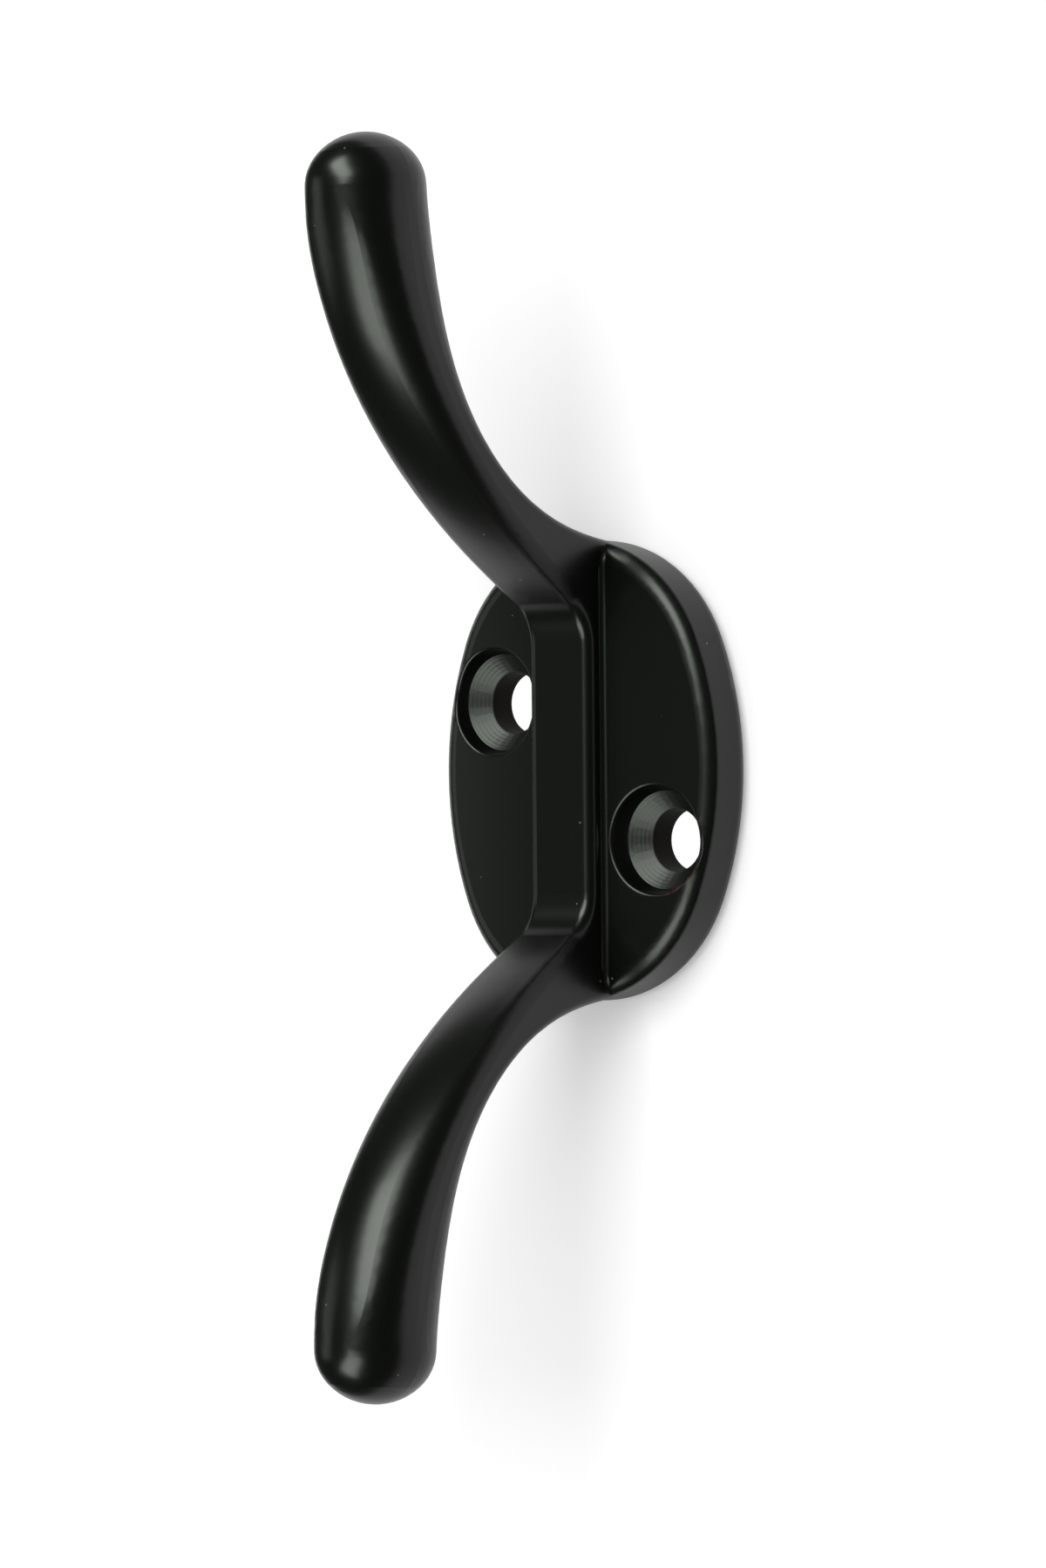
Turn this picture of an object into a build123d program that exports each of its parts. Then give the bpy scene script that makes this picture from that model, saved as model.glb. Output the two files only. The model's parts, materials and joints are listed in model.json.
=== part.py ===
from build123d import *
import math
import os

# Cleat hook in millimetres. The wall is the plane Y = 0, the front looks towards -Y and Z is up.
# On WALL, local X is right, local Y is up and local Z is the height off the wall.
# On SIDE, the symmetry plane, local X is the height off the wall and local Y is up.
WALL = Plane.XZ
SIDE = Plane(origin=(0, 0, 0), x_dir=(0, -1, 0), z_dir=(-1, 0, 0))

# Oval plate
plate_width = 28.8
plate_height = 37.85
plate_side_radius = 28.0
plate_middle_height = 5.5
plate_crown_radius = 180.0
rim_roll_radius = 2.0
rim_roll_angle = 50.0
rim_edge_radius = 0.3
back_edge_radius = 1.55

# Two countersunk screw holes on a diagonal, upper left and lower right
hole_offset_up = 5.81
bore_diameter = 5.05
bore_depth = 2.35
sink_angle = 90.0
mouth_land = 0.76
mouth_flare_width = 0.46
mouth_edge_radius = 0.3
cut_overrun = 1.0

# Rib over the plate
rib_width = 6.67
rib_height = 7.1
saddle_end_gap = 6.6
saddle_bend_radius = 4.0
rib_edge_radius = 0.95
rib_buried_height = 2.5
foot_fillet_radius = 0.5

# Horns
hook_height = 100.0
tip_diameter = 9.62
tip_shoulder_radius = 4.0
tip_crown_radius = 5.15
tip_reach = 30.0
tip_lean = 4.2
horn_rise_angle = 30.8
horn_root_crown_radius = 25.0
horn_round_share = 0.65
horn_fullest_corner = 0.92
horn_fullest_crown = 1.1
horn_front_pull = 5.35
horn_front_lift = 7.45
horn_front_inset = 0.9
horn_back_inset = 0.35
horn_back_pull = 5.6
horn_back_lift = 0.95
horn_back_sag = 0.1
horn_back_reach = 1.4
tip_front_pull = 1.65
tip_back_pull = 7.35
tip_arc_angle = 10.0
horn_stations = 7
smallest_flat = 0.001


def mix(start, end, share):
    """Straight mix of two numbers."""
    return start + (end - start) * share


def ease(share):
    """Smooth step from 0 to 1, which stays at 1 past the end."""
    share = min(share, 1)
    return share * share * (3 - 2 * share)


def bezier_point(points, share):
    """Point on a Bezier curve, by repeated mixing of its control points."""
    while len(points) > 1:
        points = [(mix(a[0], b[0], share), mix(a[1], b[1], share)) for a, b in zip(points, points[1:])]
    return points[0]


def oval(margin):
    """Outline of the plate as a four-centre oval, grown by a margin."""
    half_width = plate_width / 2
    half_height = plate_height / 2
    side_centre = plate_side_radius - half_width
    end_square = plate_side_radius**2 - side_centre**2 - half_height**2
    end_radius = end_square / (2 * (plate_side_radius - half_height))
    joint_angle = math.atan2(half_height - end_radius, side_centre)
    side_radius = plate_side_radius + margin
    joint_x = side_radius * math.cos(joint_angle) - side_centre
    joint_y = side_radius * math.sin(joint_angle)
    side_x = half_width + margin
    end_y = half_height + margin
    return make_face([
        ThreePointArc((joint_x, -joint_y), (side_x, 0), (joint_x, joint_y)),
        ThreePointArc((joint_x, joint_y), (0, end_y), (-joint_x, joint_y)),
        ThreePointArc((-joint_x, joint_y), (-side_x, 0), (-joint_x, -joint_y)),
        ThreePointArc((-joint_x, -joint_y), (0, -end_y), (joint_x, -joint_y)),
    ])


def oval_plate():
    """Plate with a crowned front that rolls off to a crisp rim, and a foot for the rib."""
    roll_margin = rim_roll_radius * (1 - math.sin(math.radians(rim_roll_angle)))
    blank = WALL * extrude(oval(roll_margin), plate_middle_height)
    crown = Cylinder(plate_crown_radius, 2 * plate_height)
    blank = blank & Pos(0, plate_crown_radius - plate_middle_height, 0) * crown
    blank = fillet(blank.faces().sort_by(Axis.Y)[0].edges(), rim_roll_radius)
    foot_height = plate_middle_height + foot_fillet_radius
    wall = WALL * extrude(oval(0), foot_height)
    plate = blank & wall
    foot = wall & WALL * extrude(Rectangle(rib_width, 2 * plate_height), foot_height)
    footed = plate + foot
    plate = fillet(new_edges(plate, foot, combined=footed), foot_fillet_radius)
    rim_height = plate_middle_height - rim_roll_radius * (1 - math.cos(math.radians(rim_roll_angle)))
    sides = plate.faces().filter_by(GeomType.CYLINDER).filter_by(lambda face: face.center().Y > -rim_height)
    plate = fillet(sides.edges().filter_by(GeomType.BSPLINE), rim_edge_radius)
    return fillet(plate.faces().sort_by(Axis.Y)[-1].edges(), back_edge_radius)


def saddle_bend():
    """Start, middle and end of the arc that turns the upper end of the saddle out into the horn."""
    turn = math.pi / 2 - math.radians(horn_rise_angle)
    start_up = plate_height / 2 - saddle_end_gap - saddle_bend_radius * math.tan(turn / 2)
    points = []
    for angle in (0, turn / 2, turn):
        off_wall = rib_height + saddle_bend_radius * (1 - math.cos(angle))
        points.append((off_wall, start_up + saddle_bend_radius * math.sin(angle)))
    return points


def tip_crown_drop():
    """How far the centre of the tip's crown lies below the tip's circle."""
    slant = tip_crown_radius - tip_shoulder_radius
    across = tip_diameter / 2 - tip_shoulder_radius
    return math.sqrt(slant**2 - across**2)


def tip_circle_up():
    """Height of the centre of the upper tip's circle."""
    return hook_height / 2 - tip_crown_radius + tip_crown_drop() * math.cos(math.radians(tip_lean))


def horn_curves():
    """Control points of the upper horn's front and back, in the symmetry plane."""
    tip_radius = tip_diameter / 2
    lean = math.radians(tip_lean)
    rise = math.radians(horn_rise_angle)
    plate_end = plate_height / 2
    tip_up = tip_circle_up()
    along = (math.sin(lean), math.cos(lean))
    front_end = (tip_reach + tip_radius * along[1], tip_up - tip_radius * along[0])
    back_end = (tip_reach - tip_radius * along[1], tip_up + tip_radius * along[0])
    bend_end = saddle_bend()[-1]
    front = [
        bend_end,
        (bend_end[0] + horn_front_pull * math.cos(rise), bend_end[1] + horn_front_pull * math.sin(rise)),
        (front_end[0] - horn_front_inset, plate_end + horn_front_lift),
        (front_end[0] - tip_front_pull * along[0], front_end[1] - tip_front_pull * along[1]),
        front_end,
    ]
    back = [
        (rib_buried_height, plate_end - horn_back_inset),
        (rib_buried_height + horn_back_pull, plate_end + horn_back_lift),
        (back_end[0] - horn_back_reach, plate_end - horn_back_sag),
        (back_end[0] - tip_back_pull * along[0], back_end[1] - tip_back_pull * along[1]),
        back_end,
    ]
    return front, back


def rib():
    """Saddle and bends, cut from one side profile, with rounded long edges."""
    root = horn_curves()[1][0]
    upper_bend = saddle_bend()
    lower_bend = [(off_wall, -up) for off_wall, up in reversed(upper_bend)]
    lower_root = (root[0], -root[1])
    profile = [
        Line(lower_bend[-1], upper_bend[0]),
        ThreePointArc(*upper_bend),
        Line(upper_bend[-1], root),
        Line(root, lower_root),
        Line(lower_root, lower_bend[0]),
        ThreePointArc(*lower_bend),
    ]
    body = extrude(SIDE * make_face(profile), rib_width / 2, both=True)
    long_edges = []
    for face in body.faces().filter_by(Axis.X):
        long_edges += face.edges().filter_by(Axis.Z) + face.edges().filter_by(GeomType.CIRCLE)
    return fillet(long_edges, rib_edge_radius)


def section(front, back, half_width, corner, crown_radius, up):
    """Face across a horn: flat sides, crowned front and back, round corners, and one circle at the tip."""
    half_depth = math.dist(front, back) / 2
    reach = (front[0] - back[0]) / (2 * half_depth)
    rise = (front[1] - back[1]) / (2 * half_depth)
    plane = Plane(
        origin=(0, -(front[0] + back[0]) / 2, up * (front[1] + back[1]) / 2),
        x_dir=(1, 0, 0),
        z_dir=(0, -up * rise, -reach),
    )
    flat_sided = corner < half_depth - smallest_flat
    if flat_sided:
        crown_up = half_depth - crown_radius
        corner_x = half_width - corner
        corner_y = crown_up + math.sqrt((crown_radius - corner)**2 - corner_x**2)
        start_angle = math.atan2(corner_y - crown_up, corner_x)
        end_angle = 0
    else:
        corner_x = corner_y = 0
        start_angle = math.radians(90 - tip_arc_angle)
        end_angle = math.radians(tip_arc_angle)
    corner_points = []
    for angle in (start_angle, (start_angle + end_angle) / 2, end_angle):
        corner_points.append((corner_x + corner * math.cos(angle), corner_y + corner * math.sin(angle)))
    face_end = corner_points[0]
    side_end = corner_points[2]
    edges = []
    for right, forward in ((1, 1), (-1, 1), (-1, -1), (1, -1)):
        edges.append(ThreePointArc(*[(right * x, forward * y) for x, y in corner_points]))
    for sign in (1, -1):
        face_y = sign * face_end[1]
        edges.append(ThreePointArc((face_end[0], face_y), (0, sign * half_depth), (-face_end[0], face_y)))
        side_x = sign * side_end[0]
        side_points = [(side_x, side_end[1]), (sign * half_width, 0), (side_x, -side_end[1])]
        edges.append(Line(side_points[0], side_points[2]) if flat_sided else ThreePointArc(*side_points))
    return plane * make_face(edges)


def tip_dome():
    """Low dome on the tip's circle: a wide crown that rolls over into a tighter shoulder."""
    tip_radius = tip_diameter / 2
    drop = tip_crown_drop()
    crown_angle = math.atan2(tip_radius - tip_shoulder_radius, drop)
    crown = [(tip_crown_radius * math.sin(a), tip_crown_radius * math.cos(a) - drop)
             for a in (crown_angle, crown_angle / 2, 0)]
    middle = (crown_angle + math.pi / 2) / 2
    shoulder_x = tip_radius - tip_shoulder_radius + tip_shoulder_radius * math.sin(middle)
    shoulder = (shoulder_x, tip_shoulder_radius * math.cos(middle))
    profile = [
        Line((0, 0), (tip_radius, 0)),
        ThreePointArc((tip_radius, 0), shoulder, crown[0]),
        ThreePointArc(*crown),
        Line(crown[2], (0, 0)),
    ]
    return revolve(Plane.XZ * make_face(profile), Axis.Z)


def horn(root, up):
    """Horn from the rib's end face on: swells, turns round and ends in a dome."""
    front, back = horn_curves()
    tip_radius = tip_diameter / 2
    faces = [root]
    for station in range(1, horn_stations):
        share = station / (horn_stations - 1)
        front_point = bezier_point(front, share)
        back_point = bezier_point(back, share)
        half_width = mix(rib_width / 2, tip_radius, share * (2 - share))
        half_depth = math.dist(front_point, back_point) / 2
        corner = crown_radius = tip_radius
        if station < horn_stations - 1:
            roundness = ease(share / horn_round_share)
            fullest_corner = horn_fullest_corner * min(half_width, half_depth)
            fullest_crown = horn_fullest_crown * half_width
            corner = mix(rib_edge_radius, fullest_corner, roundness)
            crown_radius = 1 / mix(1 / horn_root_crown_radius, 1 / fullest_crown, roundness)
        faces.append(section(front_point, back_point, half_width, corner, crown_radius, up))
    lean = math.radians(tip_lean)
    tip = Plane(
        origin=(0, -tip_reach, up * tip_circle_up()),
        x_dir=(1, 0, 0),
        z_dir=(0, -math.sin(lean), up * math.cos(lean)),
    )
    return loft(faces) + tip * tip_dome()


def hole_bounds():
    """Rib's side and plate's outline at the height of a screw hole, between which its mouth sits."""
    outline = math.sqrt(plate_side_radius**2 - hole_offset_up**2) - plate_side_radius + plate_width / 2
    return rib_width / 2, outline


def screw_hole():
    """Bore, countersink and flared mouth, standing on the wall, with a land on either side of the mouth."""
    inner, outer = hole_bounds()
    bore_radius = bore_diameter / 2
    mouth_radius = (outer - inner) / 2 - mouth_land
    sink_radius = mouth_radius - mouth_flare_width
    sink_top = bore_depth + (sink_radius - bore_radius) / math.tan(math.radians(sink_angle / 2))
    overrun_flare = mouth_flare_width * cut_overrun / (plate_middle_height - sink_top)
    cut_top = plate_middle_height + cut_overrun
    outline = Polyline(
        (0, -cut_overrun),
        (bore_radius, -cut_overrun),
        (bore_radius, bore_depth),
        (sink_radius, sink_top),
        (mouth_radius + overrun_flare, cut_top),
        (0, cut_top),
        close=True,
    )
    return revolve(Plane.XZ * make_face(outline), Axis.Z)


plate = oval_plate()
hole_offset_across = sum(hole_bounds()) / 2
for side in (1, -1):
    hole = WALL * Pos(side * hole_offset_across, -side * hole_offset_up, 0) * screw_hole()
    drilled = plate - hole
    mouth = new_edges(plate, hole, combined=drilled).filter_by(lambda edge: edge.center().Y < -bore_depth)
    plate = fillet(mouth, mouth_edge_radius)
saddle = rib()
ends = saddle.faces().filter_by(GeomType.PLANE).sort_by(Axis.Z)
cleat_hook = plate + (saddle + horn(ends[-1], 1) + horn(ends[0], -1))

os.makedirs("parts", exist_ok=True)
export_step(cleat_hook, "parts/cleat_hook.step")
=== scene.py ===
"""Cleat hook with a satin black coat, on a white wall that a window lights.

Two softboxes and a pale card show in the coat, and a dark curtain fills the rest of its reflections.
Lengths are in metres in the part's own frame: the wall is Y = 0, the front looks towards -Y and Z is up.
"""

import json
import math

import bpy
import numpy as np
from mathutils import Matrix, Quaternion, Vector


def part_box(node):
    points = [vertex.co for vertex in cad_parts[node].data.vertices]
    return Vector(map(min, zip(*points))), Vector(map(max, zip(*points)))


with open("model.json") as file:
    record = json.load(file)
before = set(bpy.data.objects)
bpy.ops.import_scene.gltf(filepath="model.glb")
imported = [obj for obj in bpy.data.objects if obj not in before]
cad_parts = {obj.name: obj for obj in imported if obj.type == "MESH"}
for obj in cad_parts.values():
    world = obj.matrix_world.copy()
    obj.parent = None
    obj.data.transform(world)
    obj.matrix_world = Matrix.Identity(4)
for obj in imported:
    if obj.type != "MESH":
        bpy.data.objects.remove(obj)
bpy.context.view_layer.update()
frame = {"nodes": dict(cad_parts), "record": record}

bl_info = {
    "name": "Cleat Hook",
    "version": (1, 0, 0),
    "blender": (4, 5, 0),
    "location": "View3D > Sidebar > Cleat Hook",
    "description": "Finishes a cast cleat hook and sets it on a studio wall",
    "category": "Object",
}

NODE = "cleat_hook"
MM = 0.001
WHITE = "#FFFFFF"

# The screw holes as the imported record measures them, in millimetres.
SCREW_HOLES = next(mount["dims"] for mount in frame["record"]["mounts"] if mount["name"] == "screw_holes")

# Sockets of the Mix node in its colour mode.
MIX_SHARE, MIX_FIRST, MIX_SECOND, MIX_RESULT = 0, 6, 7, 2

# Edges of the coat's zones: where the thin coat fades outside the bore, and half the fade at the cone's edge.
BORE_FADE_START = 0.02 * MM
BORE_FADE_END = 0.1 * MM
SINK_FADE = 0.05 * MM
# Slant length of a 90 degree countersink for each unit of its radius.
SINK_SLANT = math.sqrt(2)
# Share of a dust speck's radius, and of the rubbed lip's half width, that has the full colour.
SPECK_CORE = 0.6
LIP_CORE = 0.4
# The rubbed arc's ends, as cosines of the angle from its middle: where it starts and where it is full.
RUB_START = 0.85
RUB_FULL = 0.97
# Levels of the noise that breaks the arc up, and the noise's spacing in half widths of the lip.
WORN_START = 0.35
WORN_FULL = 0.6
WORN_SPACING = 3

# Rings and sides of the meshes, and the power that crowds the wall's rings towards the plate.
WALL_RINGS = 12
WALL_SIDES = 96
WALL_CROWDING = 3
CURTAIN_RINGS = 24
CURTAIN_SIDES = 48
# The curtain's last ring stands just short of its pole.
CURTAIN_END = 0.999 * math.pi / 2

# Height in pixels of the picture that the focal length refers to, the sensor's size in millimetres, and the
# nearest distance that the camera sees.
PICTURE_HEIGHT = 1799
SENSOR_SIZE = 36.0
CLIP_START = 0.01


def to_linear(hex_colour):
    """Turns an sRGB hex colour such as "#0B0B0C" into linear red, green, blue and alpha."""
    channels = np.array([int(hex_colour[i:i + 2], 16) for i in (1, 3, 5)]) / 255
    linear = np.where(channels <= 0.04045, channels / 12.92, ((channels + 0.055) / 1.055) ** 2.4)
    return (*linear.tolist(), 1.0)


def add_node(tree, kind, inputs=(), **settings):
    """Adds a node and sets its attributes; an input takes a value, or a link from another node's output."""
    node = tree.nodes.new(kind)
    for name, value in settings.items():
        setattr(node, name, value)
    for socket, value in dict(inputs).items():
        if isinstance(value, bpy.types.NodeSocket):
            tree.links.new(value, node.inputs[socket])
        else:
            node.inputs[socket].default_value = value
    return node


def new_material(name):
    """An empty node material and its tree."""
    material = bpy.data.materials.new(name)
    material.use_nodes = True
    material.node_tree.nodes.clear()
    return material, material.node_tree


def upper_hole(finish):
    """Where the upper screw hole's axis meets the wall; the lower hole lies opposite."""
    return Vector((math.cos(finish.hole_angle), 0.0, math.sin(finish.hole_angle))) * finish.hole_reach


def hole_distances(tree, place, flat, finish):
    """Distances from the upper and the lower screw hole's axis, for points laid flat on the wall.

    On the back face they are held outside the holes, so that the holes' pattern stays in front.
    """
    depth = add_node(tree, "ShaderNodeSeparateXYZ", {0: place}).outputs["Y"]
    outside = add_node(
        tree, "ShaderNodeMapRange",
        {
            "Value": depth, "From Min": -2 * finish.back_skin, "From Max": -finish.back_skin,
            "To Min": 0.0, "To Max": 2 * finish.sink_radius,
        },
    ).outputs[0]
    distances = []
    for axis in (upper_hole(finish), -upper_hole(finish)):
        distance = add_node(
            tree, "ShaderNodeVectorMath", {0: flat, 1: axis}, operation="DISTANCE",
        ).outputs["Value"]
        held = add_node(tree, "ShaderNodeMath", {0: distance, 1: outside}, operation="MAXIMUM").outputs[0]
        distances.append(held)
    return distances


def coat_normal(tree, place, radius, in_sink, finish):
    """Bumps of the coat: orange peel all over, and the turning of the countersinks."""
    peel = add_node(
        tree, "ShaderNodeTexNoise",
        {"Vector": place, "Scale": 1 / finish.peel_spacing, "Detail": 3.0, "Roughness": 0.55},
    ).outputs["Fac"]
    film = add_node(tree, "ShaderNodeBump", {"Height": peel, "Distance": finish.peel_depth}).outputs["Normal"]

    # The cones were turned in fine steps, whose treads face the front more than the cone does. The steps are
    # too fine to show one by one, so the shading leans by their tilt all over, and coarser rings lie on it.
    tread = add_node(
        tree, "ShaderNodeMapRange",
        {
            "Value": radius, "From Min": finish.bore_radius, "From Max": finish.sink_radius,
            "To Min": 1.0, "To Max": 0.0,
        },
    ).outputs[0]
    tread_drop = (finish.sink_radius - finish.bore_radius) * SINK_SLANT * math.tan(finish.tread_tilt)
    stepped = add_node(
        tree, "ShaderNodeBump", {"Height": tread, "Distance": tread_drop, "Normal": film},
    ).outputs["Normal"]
    turn = add_node(
        tree, "ShaderNodeMath", {0: radius, 1: 2 * math.pi / finish.ring_spacing}, operation="MULTIPLY",
    ).outputs[0]
    wave = add_node(tree, "ShaderNodeMath", {0: turn}, operation="SINE").outputs[0]
    rings = add_node(tree, "ShaderNodeMath", {0: wave, 1: in_sink}, operation="MULTIPLY").outputs[0]
    return add_node(
        tree, "ShaderNodeBump", {"Height": rings, "Distance": finish.ring_depth, "Normal": stepped},
    ).outputs["Normal"]


def dust_specks(tree, place, finish):
    """1 on dust specks: small balls round scattered points, where they cut the surface."""
    distance = add_node(
        tree, "ShaderNodeTexVoronoi", {"Vector": place, "Scale": 1 / finish.speck_spacing},
    ).outputs["Distance"]
    size = finish.speck_radius / finish.speck_spacing
    return add_node(
        tree, "ShaderNodeMapRange",
        {"Value": distance, "From Min": SPECK_CORE * size, "From Max": size, "To Min": 1.0, "To Max": 0.0},
    ).outputs[0]


def rubbed_lip(tree, place, flat, lower, finish):
    """1 on a thin arc at the lower side of the lower hole's mouth, broken up by noise."""
    off_lip = add_node(
        tree, "ShaderNodeMath", {0: lower, 1: finish.lip_radius}, operation="SUBTRACT",
    ).outputs[0]
    off_lip = add_node(tree, "ShaderNodeMath", {0: off_lip}, operation="ABSOLUTE").outputs[0]
    on_lip = add_node(
        tree, "ShaderNodeMapRange",
        {
            "Value": off_lip, "From Min": LIP_CORE * finish.lip_width, "From Max": finish.lip_width,
            "To Min": 1.0, "To Max": 0.0,
        },
    ).outputs[0]
    outwards = add_node(
        tree, "ShaderNodeVectorMath", {0: flat, 1: -upper_hole(finish)}, operation="SUBTRACT",
    ).outputs[0]
    outwards = add_node(tree, "ShaderNodeVectorMath", {0: outwards}, operation="NORMALIZE").outputs[0]
    rub_direction = (math.cos(finish.rub_angle), 0.0, math.sin(finish.rub_angle))
    rub_side = add_node(
        tree, "ShaderNodeVectorMath", {0: outwards, 1: rub_direction}, operation="DOT_PRODUCT",
    ).outputs["Value"]
    near_side = add_node(
        tree, "ShaderNodeMapRange", {"Value": rub_side, "From Min": RUB_START, "From Max": RUB_FULL},
    ).outputs[0]
    break_up = add_node(
        tree, "ShaderNodeTexNoise",
        {"Vector": place, "Scale": 1 / (WORN_SPACING * finish.lip_width), "Detail": 2.0},
    ).outputs["Fac"]
    worn = add_node(
        tree, "ShaderNodeMapRange", {"Value": break_up, "From Min": WORN_START, "From Max": WORN_FULL},
    ).outputs[0]
    rubbed = add_node(tree, "ShaderNodeMath", {0: on_lip, 1: near_side}, operation="MULTIPLY").outputs[0]
    return add_node(tree, "ShaderNodeMath", {0: rubbed, 1: worn}, operation="MULTIPLY").outputs[0]


def satin_black_coat(finish):
    """Black lacquer sprayed and baked on an iron casting: a satin film with hardly any colour of its own.

    It shows as soft reflections on black, with a faint orange peel and a few dust specks baked in. The
    countersinks were turned before coating, and their rings show through. The bores took little spray and
    stay matt and brownish, and on one lip the coat has rubbed thin, so the reddish primer shows.
    """
    material, tree = new_material("satin_black_baked_lacquer_on_cast_iron")
    place = add_node(tree, "ShaderNodeTexCoord").outputs["Object"]
    flat = add_node(
        tree, "ShaderNodeVectorMath", {0: place, 1: (1.0, 0.0, 1.0)}, operation="MULTIPLY",
    ).outputs["Vector"]
    upper, lower = hole_distances(tree, place, flat, finish)
    radius = add_node(tree, "ShaderNodeMath", {0: upper, 1: lower}, operation="MINIMUM").outputs[0]
    in_bore = add_node(
        tree, "ShaderNodeMapRange",
        {
            "Value": radius, "From Min": finish.bore_radius + BORE_FADE_START,
            "From Max": finish.bore_radius + BORE_FADE_END, "To Min": 1.0, "To Max": 0.0,
        },
    ).outputs[0]
    in_sink = add_node(
        tree, "ShaderNodeMapRange",
        {
            "Value": radius, "From Min": finish.sink_radius - SINK_FADE,
            "From Max": finish.sink_radius + SINK_FADE, "To Min": 1.0, "To Max": 0.0,
        },
    ).outputs[0]
    normal = coat_normal(tree, place, radius, in_sink, finish)

    colour = to_linear(finish.coat_colour)
    for share, tint in (
        (in_bore, finish.bore_colour),
        (rubbed_lip(tree, place, flat, lower, finish), finish.primer_colour),
        (dust_specks(tree, place, finish), finish.speck_colour),
    ):
        colour = add_node(
            tree, "ShaderNodeMix", {MIX_SHARE: share, MIX_FIRST: colour, MIX_SECOND: to_linear(tint)},
            data_type="RGBA",
        ).outputs[MIX_RESULT]

    # Satin film, rougher on the turned cones and matt in the bores.
    turned = add_node(
        tree, "ShaderNodeMapRange",
        {"Value": in_sink, "To Min": finish.coat_roughness, "To Max": finish.sink_roughness},
    ).outputs[0]
    roughness = add_node(
        tree, "ShaderNodeMapRange", {"Value": in_bore, "To Min": turned, "To Max": finish.bore_roughness},
    ).outputs[0]
    shader = add_node(
        tree, "ShaderNodeBsdfPrincipled",
        {"Base Color": colour, "Roughness": roughness, "Normal": normal, "IOR": finish.coat_ior},
    ).outputs["BSDF"]
    add_node(tree, "ShaderNodeOutputMaterial", {"Surface": shader})
    return material


def wall_paint(studio):
    """Matt white wall, seen from the front only, so that the hook's back can be looked at through it.

    A glow for the camera's own rays lifts the lit paint to white and keeps the shadow.
    """
    material, tree = new_material("matt_white_wall_paint")
    paint = add_node(tree, "ShaderNodeBsdfDiffuse", {"Color": to_linear(studio.wall_colour)}).outputs["BSDF"]
    camera_ray = add_node(tree, "ShaderNodeLightPath").outputs["Is Camera Ray"]
    strength = add_node(
        tree, "ShaderNodeMath", {0: camera_ray, 1: studio.wall_glow}, operation="MULTIPLY",
    ).outputs[0]
    glow = add_node(
        tree, "ShaderNodeEmission", {"Color": to_linear(WHITE), "Strength": strength},
    ).outputs["Emission"]
    lit = add_node(tree, "ShaderNodeAddShader", {0: paint, 1: glow}).outputs["Shader"]
    clear = add_node(tree, "ShaderNodeBsdfTransparent").outputs["BSDF"]
    behind = add_node(tree, "ShaderNodeNewGeometry").outputs["Backfacing"]
    shown = add_node(tree, "ShaderNodeMixShader", {0: behind, 1: lit, 2: clear}).outputs["Shader"]
    add_node(tree, "ShaderNodeOutputMaterial", {"Surface": shown})
    return material


def curtain_cloth(studio):
    """Dark woven curtain, matt all over, so that reflections of it have no shape."""
    material, tree = new_material("dark_matt_curtain_cloth")
    cloth = add_node(
        tree, "ShaderNodeBsdfDiffuse", {"Color": to_linear(studio.curtain_colour)},
    ).outputs["BSDF"]
    add_node(tree, "ShaderNodeOutputMaterial", {"Surface": cloth})
    return material


def ring_object(name, points, material):
    """A mesh object from a grid of points whose rows are closed rings, with quads between neighbours."""
    rows, columns = points.shape[:2]
    index = np.arange(rows * columns).reshape(rows, columns)
    index = np.concatenate([index, index[:, :1]], axis=1)
    quads = np.stack([index[:-1, :-1], index[:-1, 1:], index[1:, 1:], index[1:, :-1]], axis=-1)
    mesh = bpy.data.meshes.new(name)
    mesh.from_pydata(points.reshape(-1, 3).tolist(), [], quads.reshape(-1, 4).tolist())
    mesh.update()
    mesh.materials.append(material)
    thing = bpy.data.objects.new(name, mesh)
    bpy.context.scene.collection.objects.link(thing)
    return thing


def wall_points(inner_half_width, inner_half_height, radius, shift, setback):
    """Flat ring on the wall: an ellipse behind the plate, blended along rays to a large shifted circle.

    The angle runs clockwise from the front, so that the faces look towards -Y.
    """
    angle = np.linspace(2 * math.pi, 0, WALL_SIDES, endpoint=False)
    share = np.linspace(0, 1, WALL_RINGS)[:, None] ** WALL_CROWDING
    x = inner_half_width * np.cos(angle) * (1 - share) + (shift + radius * np.cos(angle)) * share
    z = inner_half_height * np.sin(angle) * (1 - share) + radius * np.sin(angle) * share
    return np.stack([x, np.full_like(x, setback), z], axis=-1)


def curtain_points(radius, wrap):
    """Part of a sphere: circles whose radius is a cosine, from behind the wall to the pole at -Y."""
    angle = np.linspace(0, 2 * math.pi, CURTAIN_SIDES, endpoint=False)
    lift = np.linspace(-wrap, CURTAIN_END, CURTAIN_RINGS)[:, None]
    x = radius * np.cos(lift) * np.cos(angle)
    y = np.broadcast_to(-radius * np.sin(lift), x.shape)
    z = radius * np.cos(lift) * np.sin(angle)
    return np.stack([x, y, z], axis=-1)


def add_wall(studio):
    """The wall, with an opening behind the plate through which the hook's back shows."""
    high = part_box(NODE)[1]
    points = wall_points(
        high.x - studio.wall_opening_margin,
        studio.plate_half_height - studio.wall_opening_margin,
        studio.wall_radius,
        studio.wall_shift,
        high.y,
    )
    wall = ring_object("wall", points, wall_paint(studio))


def add_curtain(studio):
    """The dark part sphere round the studio, which only reflections see; the room's even light passes it."""
    points = curtain_points(studio.curtain_radius, studio.curtain_wrap)
    curtain = ring_object("curtain", points, curtain_cloth(studio))
    curtain.visible_camera = False
    curtain.visible_transmission = False
    curtain.visible_diffuse = False
    curtain.visible_shadow = False


def direction(azimuth, elevation):
    """Unit vector at an azimuth from -Y towards +X and an elevation towards +Z."""
    level = math.cos(elevation)
    return Vector((math.sin(azimuth) * level, -math.cos(azimuth) * level, math.sin(elevation)))


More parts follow.
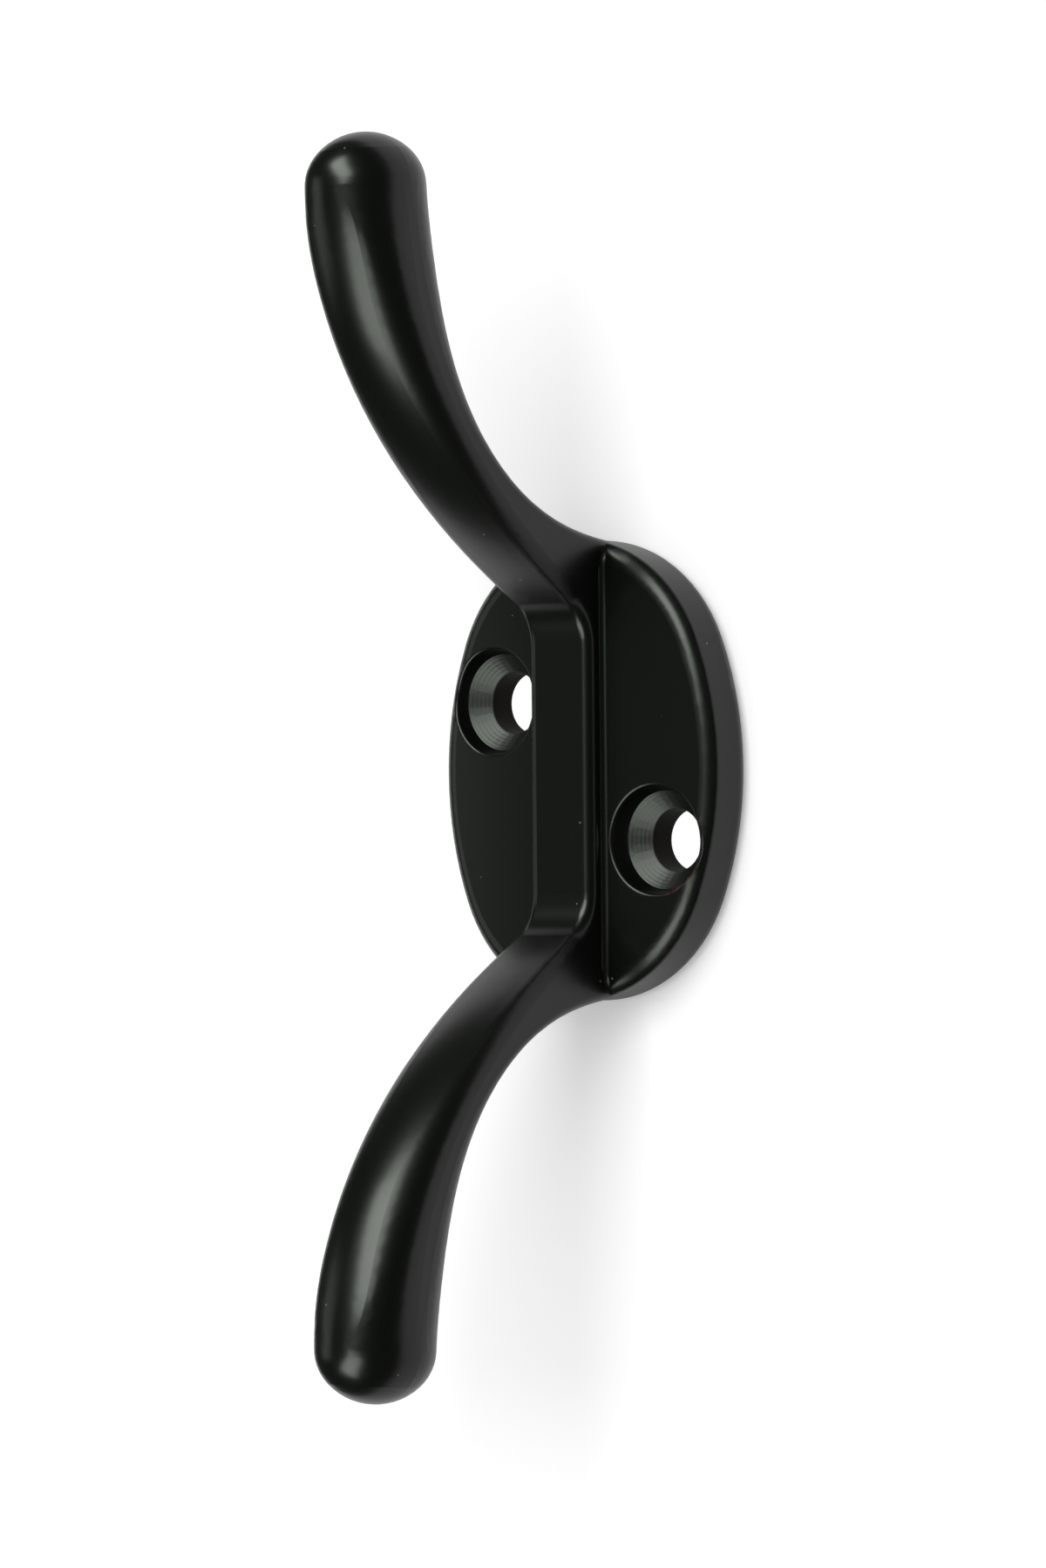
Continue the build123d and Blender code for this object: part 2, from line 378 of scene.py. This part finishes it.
def add_lamp(name, studio):
    """A flat lamp facing the middle of the plate, with the studio's settings that begin with its name."""
    lamp = bpy.data.lights.new(name, "AREA")
    lamp.shape = "RECTANGLE"
    lamp.size = getattr(studio, name + "_width")
    lamp.size_y = getattr(studio, name + "_height")
    lamp.energy = getattr(studio, name + "_power")
    thing = bpy.data.objects.new(name, lamp)
    away = direction(getattr(studio, name + "_azimuth"), getattr(studio, name + "_elevation"))
    thing.location = away * studio.lamp_distance
    roll = Quaternion((0.0, 0.0, 1.0), getattr(studio, name + "_roll"))
    thing.rotation_euler = (away.to_track_quat("Z", "Y") @ roll).to_euler()
    thing.visible_camera = False
    bpy.context.scene.collection.objects.link(thing)
    return thing


def add_world(scene, studio):
    """White for rays from the camera, from reflections and through glass, and even soft light elsewhere."""
    world = bpy.data.worlds.new("studio")
    world.use_nodes = True
    tree = world.node_tree
    tree.nodes.clear()
    path = add_node(tree, "ShaderNodeLightPath").outputs
    seen = path["Is Camera Ray"]
    for other in (path["Is Glossy Ray"], path["Is Transmission Ray"]):
        seen = add_node(tree, "ShaderNodeMath", {0: seen, 1: other}, operation="MAXIMUM").outputs[0]
    even, white = [
        add_node(
            tree, "ShaderNodeBackground", {"Color": to_linear(WHITE), "Strength": strength},
        ).outputs["Background"]
        for strength in (studio.room_light, 1.0)
    ]
    both = add_node(tree, "ShaderNodeMixShader", {0: seen, 1: even, 2: white}).outputs["Shader"]
    add_node(tree, "ShaderNodeOutputWorld", {"Surface": both})
    scene.world = world


def add_camera(scene, studio):
    """Camera turned round the hook, then moved sideways and down without turning."""
    back = direction(studio.view_azimuth, studio.view_elevation)
    level_right = direction(studio.view_azimuth + math.pi / 2, 0)
    level_up = back.cross(level_right)
    right = math.cos(studio.view_roll) * level_right - math.sin(studio.view_roll) * level_up
    up = math.cos(studio.view_roll) * level_up + math.sin(studio.view_roll) * level_right
    place = back * studio.view_distance - right * studio.view_aim_across - up * studio.view_aim_up
    data = bpy.data.cameras.new("camera")
    data.sensor_width = SENSOR_SIZE
    data.lens = SENSOR_SIZE * studio.focal_pixels / PICTURE_HEIGHT
    data.clip_start = CLIP_START
    camera = bpy.data.objects.new("camera", data)
    axes = Matrix((right, up, back)).transposed()
    camera.matrix_world = Matrix.Translation(place) @ axes.to_4x4()
    scene.collection.objects.link(camera)
    scene.camera = camera


def length_setting(name, description, default):
    """A length property, shown down to a micrometre."""
    return bpy.props.FloatProperty(
        name=name, description=description, default=default, min=0, precision=6, unit="LENGTH",
    )


def angle_setting(name, description, degrees):
    """An angle property, with its default in degrees."""
    return bpy.props.FloatProperty(
        name=name, description=description, default=math.radians(degrees), subtype="ANGLE",
    )


def colour_setting(name, description, default):
    """A colour property that holds an sRGB hex value."""
    return bpy.props.StringProperty(name=name, description=description, default=default)


def share_setting(name, description, default):
    """A property from 0 to 1."""
    return bpy.props.FloatProperty(
        name=name, description=description, default=default, min=0, max=1, subtype="FACTOR",
    )


def power_setting(name, description, default):
    """A lamp's power in watts."""
    return bpy.props.FloatProperty(name=name, description=description, default=default, min=0, unit="POWER")


class CleatHookFinish(bpy.types.PropertyGroup):
    """Colours and sizes of the hook's coat."""

    coat_colour: colour_setting("Coat colour", "sRGB hex colour of the lacquer", "#060806")
    coat_roughness: share_setting("Coat roughness", "Satin of the lacquer", 0.27)
    coat_ior: bpy.props.FloatProperty(
        name="Coat IOR", description="Refractive index of the lacquer", default=1.42, min=1, max=3,
    )
    peel_spacing: length_setting("Orange peel spacing", "Distance between bumps in the film", 0.9 * MM)
    peel_depth: length_setting("Orange peel depth", "Height of the bumps in the film", 0.004 * MM)
    hole_reach: length_setting(
        "Hole reach", "Distance of a screw hole's axis from the middle", SCREW_HOLES["pcd_mm"] / 2 * MM,
    )
    hole_angle: angle_setting("Hole angle", "Turn of the upper hole from the right, upwards", 145.842)
    back_skin: length_setting("Back skin", "How near the wall a point counts as the back face", 0.01 * MM)
    bore_radius: length_setting("Bore radius", "Radius of the screw holes", SCREW_HOLES["hole_r_mm"] * MM)
    sink_radius: length_setting("Countersink radius", "Radius of the turned cones", 4.0 * MM)
    tread_tilt: angle_setting("Tread tilt", "Lean of the turned steps from the cone towards the front", 22)
    ring_spacing: length_setting("Ring spacing", "Distance between turning rings on the cones", 0.25 * MM)
    ring_depth: length_setting("Ring depth", "Half the depth of the turning rings", 0.003 * MM)
    sink_roughness: share_setting("Sink roughness", "Satin of the turned cones", 0.34)
    bore_colour: colour_setting("Bore colour", "sRGB hex colour of the thin coat in the bores", "#120E0C")
    bore_roughness: share_setting("Bore roughness", "Matt of the thin coat", 1.0)
    lip_radius: length_setting("Lip radius", "Radius of the rubbed lip", 4.55 * MM)
    lip_width: length_setting("Lip width", "Half the width of the rubbed lip", 0.16 * MM)
    rub_angle: angle_setting("Rub angle", "Middle of the rubbed arc, from the right upwards", -55)
    primer_colour: colour_setting("Primer colour", "sRGB hex colour of the primer on the lip", "#43281F")
    speck_colour: colour_setting("Speck colour", "sRGB hex colour of the dust specks", "#6E6B67")
    speck_spacing: length_setting("Speck spacing", "Distance between dust specks, in space", 3.0 * MM)
    speck_radius: length_setting("Speck radius", "Radius of the dust specks", 0.1 * MM)


class CleatHookStudio(bpy.types.PropertyGroup):
    """Wall, light and camera round the hook. Azimuths turn from the front to the right."""

    wall_colour: colour_setting("Wall colour", "sRGB hex colour of the wall paint", "#F4F4F4")
    wall_glow: bpy.props.FloatProperty(
        name="Wall glow", description="Light added to the paint in the picture", default=0.27, min=0,
    )
    wall_radius: length_setting("Wall radius", "Size of the wall", 0.7)
    wall_shift: length_setting("Wall shift", "How far right of the hook the wall's middle lies", 0.62)
    plate_half_height: length_setting("Plate half height", "Half the oval plate's height", 18.925 * MM)
    wall_opening_margin: length_setting("Opening margin", "Wall that lies under the plate", 1.1 * MM)
    curtain_colour: colour_setting("Curtain colour", "sRGB hex colour of the dark curtain", "#555C54")
    curtain_radius: length_setting("Curtain radius", "Size of the curtain round the studio", 1.5)
    curtain_wrap: angle_setting("Curtain wrap", "How far the curtain goes round behind the wall", 25)
    lamp_distance: length_setting("Lamp distance", "Distance of the lamps from the hook", 1.0)
    softbox_colour: colour_setting("Softbox colour", "sRGB hex colour of the light in the coat", "#F5FFF3")
    upper_azimuth: angle_setting("Upper azimuth", "Turn of the upper softbox round the hook", -10)
    upper_elevation: angle_setting("Upper elevation", "Height of the upper softbox", 33)
    upper_width: length_setting("Upper width", "Size of the upper softbox across", 0.42)
    upper_height: length_setting("Upper height", "Size of the upper softbox the other way", 0.92)
    upper_roll: angle_setting("Upper roll", "Turn of the upper softbox about its own axis", 42)
    upper_power: power_setting("Upper power", "Power of the upper softbox", 10.1)
    lower_azimuth: angle_setting("Lower azimuth", "Turn of the lower softbox round the hook", -9)
    lower_elevation: angle_setting("Lower elevation", "Height of the lower softbox", -31)
    lower_width: length_setting("Lower width", "Size of the lower softbox across", 0.46)
    lower_height: length_setting("Lower height", "Size of the lower softbox the other way", 0.85)
    lower_roll: angle_setting("Lower roll", "Turn of the lower softbox about its own axis", -38)
    lower_power: power_setting("Lower power", "Power of the lower softbox", 7.0)
    card_azimuth: angle_setting("Card azimuth", "Turn of the pale card round the hook", -62)
    card_elevation: angle_setting("Card elevation", "Height of the pale card", 0)
    card_width: length_setting("Card width", "Size of the pale card across", 0.45)
    card_height: length_setting("Card height", "Size of the pale card the other way", 0.6)
    card_roll: angle_setting("Card roll", "Turn of the pale card about its own axis", 0)
    card_power: power_setting("Card power", "Light that the pale card sends back", 0.65)
    window_azimuth: angle_setting("Window azimuth", "Turn of the window round the hook", 18)
    window_elevation: angle_setting("Window elevation", "Height of the window", 18)
    window_width: length_setting("Window width", "Size of the window across", 0.65)
    window_height: length_setting("Window height", "Size of the window the other way", 0.75)
    window_roll: angle_setting("Window roll", "Turn of the window about its own axis", 0)
    window_power: power_setting("Window power", "Power of the window's light", 6.0)
    room_light: bpy.props.FloatProperty(
        name="Room light", description="Strength of the even light from all round", default=0.5, min=0,
    )
    view_azimuth: angle_setting("View azimuth", "Turn of the camera round the hook", 40.574)
    view_elevation: angle_setting("View elevation", "Camera above the horizon", -1.048)
    view_roll: angle_setting("View roll", "Turn of the picture", 0.505)
    view_distance: length_setting("View distance", "From the camera to the plate's back", 467.81 * MM)
    view_aim_across: length_setting("View aim across", "How far left of the middle it aims", 7.525 * MM)
    view_aim_up: length_setting("View aim up", "How far below the middle it aims", 1.101 * MM)
    focal_pixels: bpy.props.FloatProperty(
        name="Focal length", description="Focal length in pixels of the picture", default=6500.0, min=1,
        subtype="PIXEL",
    )


class OBJECT_OT_cleat_hook_finish(bpy.types.Operator):
    """Coat the cast hook in satin black"""

    bl_idname = "object.cleat_hook_finish"
    bl_label = "Finish Cleat Hook"

    def execute(self, context):
        if NODE not in frame["nodes"]:
            raise RuntimeError("the frame has no node named " + NODE)
        hook = frame["nodes"][NODE]
        hook.data.materials.clear()
        hook.data.materials.append(satin_black_coat(context.scene.cleat_hook_finish))
        return {"FINISHED"}


class SCENE_OT_cleat_hook_stage(bpy.types.Operator):
    """Set up the wall, the dark curtain, the lamps and the camera"""

    bl_idname = "scene.cleat_hook_stage"
    bl_label = "Set Cleat Hook Stage"

    def execute(self, context):
        scene = context.scene
        studio = scene.cleat_hook_studio
        scene.view_settings.view_transform = "Standard"
        add_wall(studio)
        add_curtain(studio)
        # The softboxes and the card show in the coat, and the window lights the wall and casts the shadow.
        for name in ("upper", "lower", "card"):
            softbox = add_lamp(name, studio)
            softbox.data.color = to_linear(studio.softbox_colour)[:3]
            softbox.visible_diffuse = False
        add_lamp("window", studio).visible_glossy = False
        add_world(scene, studio)
        add_camera(scene, studio)
        return {"FINISHED"}


class VIEW3D_PT_cleat_hook(bpy.types.Panel):
    """Sizes, colours and steps of the cleat hook"""

    bl_label = "Cleat Hook"
    bl_idname = "VIEW3D_PT_cleat_hook"
    bl_space_type = "VIEW_3D"
    bl_region_type = "UI"
    bl_category = "Cleat Hook"

    def draw(self, context):
        scene = context.scene
        for step, settings in (
            (OBJECT_OT_cleat_hook_finish, scene.cleat_hook_finish),
            (SCENE_OT_cleat_hook_stage, scene.cleat_hook_studio),
        ):
            box = self.layout.box()
            for name in settings.__annotations__:
                box.prop(settings, name)
            box.operator(step.bl_idname)


CLASSES = (
    CleatHookFinish,
    CleatHookStudio,
    OBJECT_OT_cleat_hook_finish,
    SCENE_OT_cleat_hook_stage,
    VIEW3D_PT_cleat_hook,
)


def register():
    """Registers the classes and hangs the settings on the scene."""
    for item in CLASSES:
        bpy.utils.register_class(item)
    bpy.types.Scene.cleat_hook_finish = bpy.props.PointerProperty(type=CleatHookFinish)
    bpy.types.Scene.cleat_hook_studio = bpy.props.PointerProperty(type=CleatHookStudio)


def unregister():
    """Takes the settings off the scene and the classes out."""
    del bpy.types.Scene.cleat_hook_studio
    del bpy.types.Scene.cleat_hook_finish
    for item in reversed(CLASSES):
        bpy.utils.unregister_class(item)


def main():
    """Runs the steps in order."""
    register()
    bpy.ops.object.cleat_hook_finish()
    bpy.ops.scene.cleat_hook_stage()


if __name__ == "__main__":
    main()
